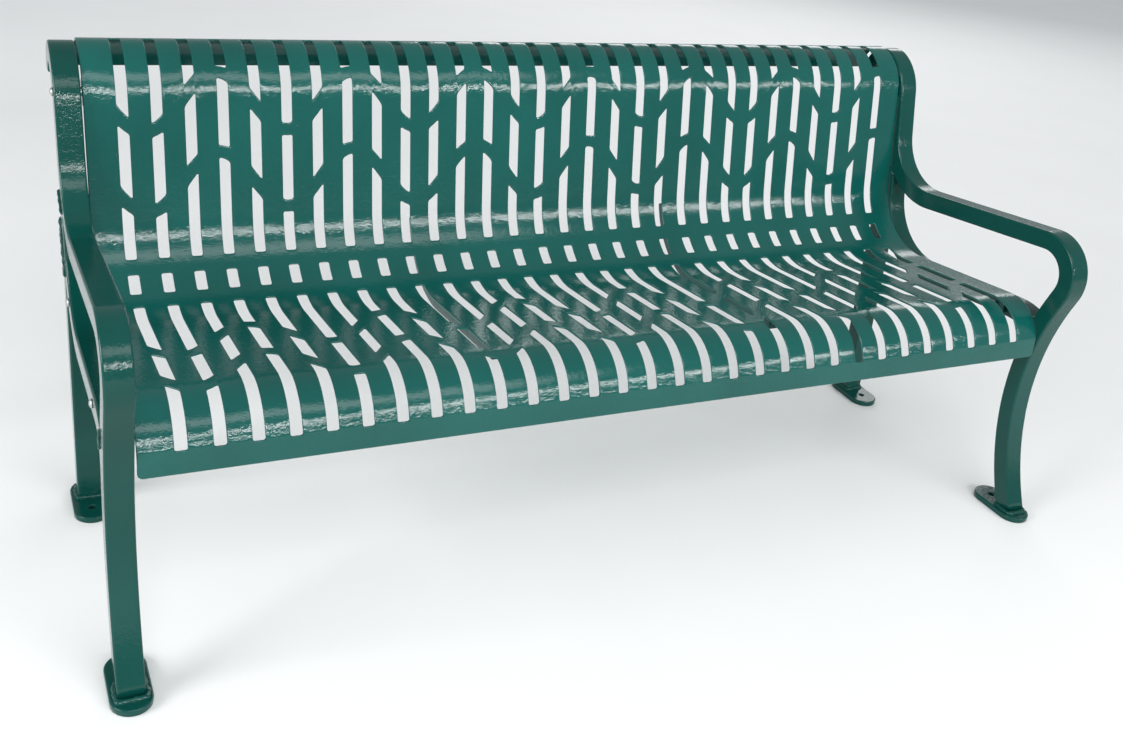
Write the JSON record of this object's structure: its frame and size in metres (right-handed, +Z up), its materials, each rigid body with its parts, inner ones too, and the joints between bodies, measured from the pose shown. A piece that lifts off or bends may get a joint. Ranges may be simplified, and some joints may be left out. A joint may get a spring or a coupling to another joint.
{
  "type": "park bench",
  "caption": "Fixed steel bench with a back and arms: one slotted, formed sheet makes the seat and back, carried by two flat-bar end frames on anchor plates.",
  "frame": {"origin": "on the ground, below the middle of the bounding box", "axes": "+X along the bench towards the sitter's left end, +Z up; the sitter faces -Y"},
  "size_m": [1.8498, 0.7758, 0.8359],
  "materials": {
    "coated_sheet": "glossy dark green thermoplastic coating",
    "coated_frame": "glossy dark green thermoplastic coating",
    "zinc": "zinc plated"
  },
  "bodies": {
    "root": {"seat_back_sheet": "coated_sheet", "sheet_rib_left": "coated_sheet", "sheet_rib_right": "coated_sheet", "sheet_tab_1_left": "coated_sheet", "sheet_tab_1_right": "coated_sheet", "sheet_tab_2_left": "coated_sheet", "sheet_tab_2_right": "coated_sheet", "sheet_tab_3_left": "coated_sheet", "sheet_tab_3_right": "coated_sheet", "arm_bar_left": "coated_frame", "arm_bar_right": "coated_frame", "seat_rail_left": "coated_frame", "seat_rail_right": "coated_frame", "rear_leg_left": "coated_frame", "rear_leg_right": "coated_frame", "front_foot_plate_left": "coated_frame", "front_foot_plate_right": "coated_frame", "rear_foot_plate_left": "coated_frame", "rear_foot_plate_right": "coated_frame", "front_foot_weld_left": "coated_frame", "front_foot_weld_right": "coated_frame", "rear_foot_weld_left": "coated_frame", "rear_foot_weld_right": "coated_frame", "frame_bolt_1_left": "zinc", "frame_bolt_1_right": "zinc", "frame_bolt_2_left": "zinc", "frame_bolt_2_right": "zinc", "frame_bolt_3_left": "zinc", "frame_bolt_3_right": "zinc", "gap_spacer_1_left": "zinc", "gap_spacer_1_right": "zinc", "gap_spacer_2_left": "zinc", "gap_spacer_2_right": "zinc", "gap_spacer_3_left": "zinc", "gap_spacer_3_right": "zinc", "bolt_washer_1_left": "zinc", "bolt_washer_1_right": "zinc", "bolt_washer_2_left": "zinc", "bolt_washer_2_right": "zinc", "bolt_washer_3_left": "zinc", "bolt_washer_3_right": "zinc", "bolt_nut_1_left": "zinc", "bolt_nut_1_right": "zinc", "bolt_nut_2_left": "zinc", "bolt_nut_2_right": "zinc", "bolt_nut_3_left": "zinc", "bolt_nut_3_right": "zinc"}
  },
  "joints": []
}
